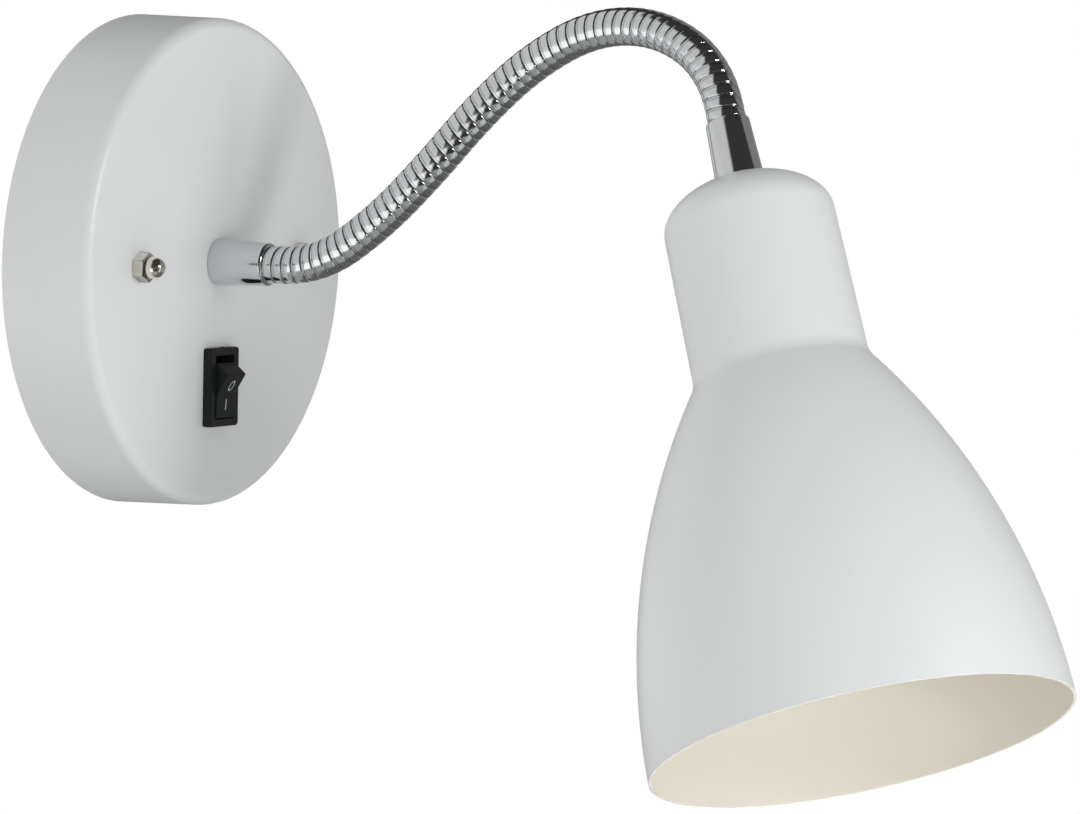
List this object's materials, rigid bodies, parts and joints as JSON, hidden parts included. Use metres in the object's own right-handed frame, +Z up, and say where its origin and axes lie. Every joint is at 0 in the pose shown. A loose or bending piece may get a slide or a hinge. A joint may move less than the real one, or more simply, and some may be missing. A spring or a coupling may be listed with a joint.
{
  "type": "wall reading lamp",
  "caption": "Bedside wall lamp: round plate with a rocker switch, ribbed flexible gooseneck arm and a bell-shaped shade over a small screw lampholder.",
  "frame": {"origin": "centre of the wall plate's back, on the wall", "axes": "+Y into the wall, +Z up, +X to the right as seen from the room; the arm reaches along -Y"},
  "size_m": [0.1528, 0.2875, 0.2022],
  "materials": {
    "white_paint": "satin white paint on pressed and spun steel",
    "chrome": "polished chrome plate",
    "nickel": "polished nickel plate",
    "zinc_steel": "bright zinc plate",
    "switch_black": "fine satin moulding",
    "nylon": "natural translucent moulding",
    "brass": "pressed and machined brass",
    "holder_plastic": "white heat-resistant moulding",
    "brown_insulation": "smooth insulation",
    "blue_insulation": "smooth insulation",
    "earth_insulation": "smooth green and yellow insulation"
  },
  "bodies": {
    "wall_unit": {"canopy": "white_paint", "mounting_bracket": "zinc_steel", "bracket_studs": "zinc_steel", "stud_nuts": "zinc_steel", "cap_nuts": "nickel", "base_ferrule": "chrome", "earth_tag": "brass", "tail_washer": "zinc_steel", "tail_nut": "zinc_steel", "terminal_block": "nylon", "terminal_tubes": "brass", "clamp_screws": "zinc_steel", "block_screw": "zinc_steel", "switch_housing": "switch_black", "terminal_common": "brass", "terminal_load": "brass", "feed_wire": "brown_insulation", "earth_wire": "earth_insulation", "live_wire": "brown_insulation", "neutral_wire": "blue_insulation"},
    "rocker": {"switch_rocker": "switch_black", "switch_plunger": "nylon", "plunger_spring": "zinc_steel"},
    "contact": {"contact_lever": "brass"},
    "neck_root": {"gooseneck_root": "chrome"},
    "neck_rise": {"gooseneck_rise": "chrome"},
    "neck_crest": {"gooseneck_crest": "chrome"},
    "head": {"gooseneck_drop": "chrome", "head_ferrule": "chrome", "shade": "white_paint", "shade_washer": "zinc_steel", "shade_nut": "zinc_steel", "holder_cap": "holder_plastic", "holder_skirt": "holder_plastic", "holder_insert": "holder_plastic", "screw_shell": "brass", "centre_contact": "brass", "holder_posts": "brass"}
  },
  "joints": [
    {"name": "neck_swing", "type": "hinge", "parent": "wall_unit", "child": "neck_root", "pos_m": [0.00051, -0.06229, 0.00408], "axis": [-0.0325, 0.4777, 0.8779], "range_deg": [-40, 40], "deforming": ["gooseneck_root", "live_wire", "neutral_wire"]},
    {"name": "neck_lift", "type": "hinge", "parent": "neck_root", "child": "neck_rise", "pos_m": [0.00457, -0.09346, 0.0329], "axis": [-0.973, -0.2309, 0], "range_deg": [-30, 30], "deforming": ["gooseneck_rise", "live_wire", "neutral_wire"]},
    {"name": "head_nod", "type": "hinge", "parent": "neck_rise", "child": "neck_crest", "pos_m": [0.00947, -0.1264, 0.06149], "axis": [-1, -0.0022, 0], "range_deg": [-20, 50], "deforming": ["gooseneck_crest", "live_wire", "neutral_wire"]},
    {"name": "head_turn", "type": "hinge", "parent": "neck_crest", "child": "head", "pos_m": [0.00347, -0.16675, 0.05861], "axis": [-0.1622, -0.5509, 0.8187], "range_deg": [-35, 35], "deforming": ["gooseneck_drop", "live_wire", "neutral_wire"]},
    {"name": "rocker_press", "type": "hinge", "parent": "wall_unit", "child": "rocker", "pos_m": [0, -0.0228, -0.0332], "axis": [-1, 0, 0], "range_deg": [0, 33]},
    {"name": "contact_rock", "type": "hinge", "parent": "wall_unit", "child": "contact", "pos_m": [0, -0.01723, -0.0332], "axis": [-1, 0, 0], "range_deg": [-17, 1]}
  ],
  "couplings": [
    {"joint": "contact_rock", "follows": "rocker_press", "ratio": -0.48485}
  ]
}
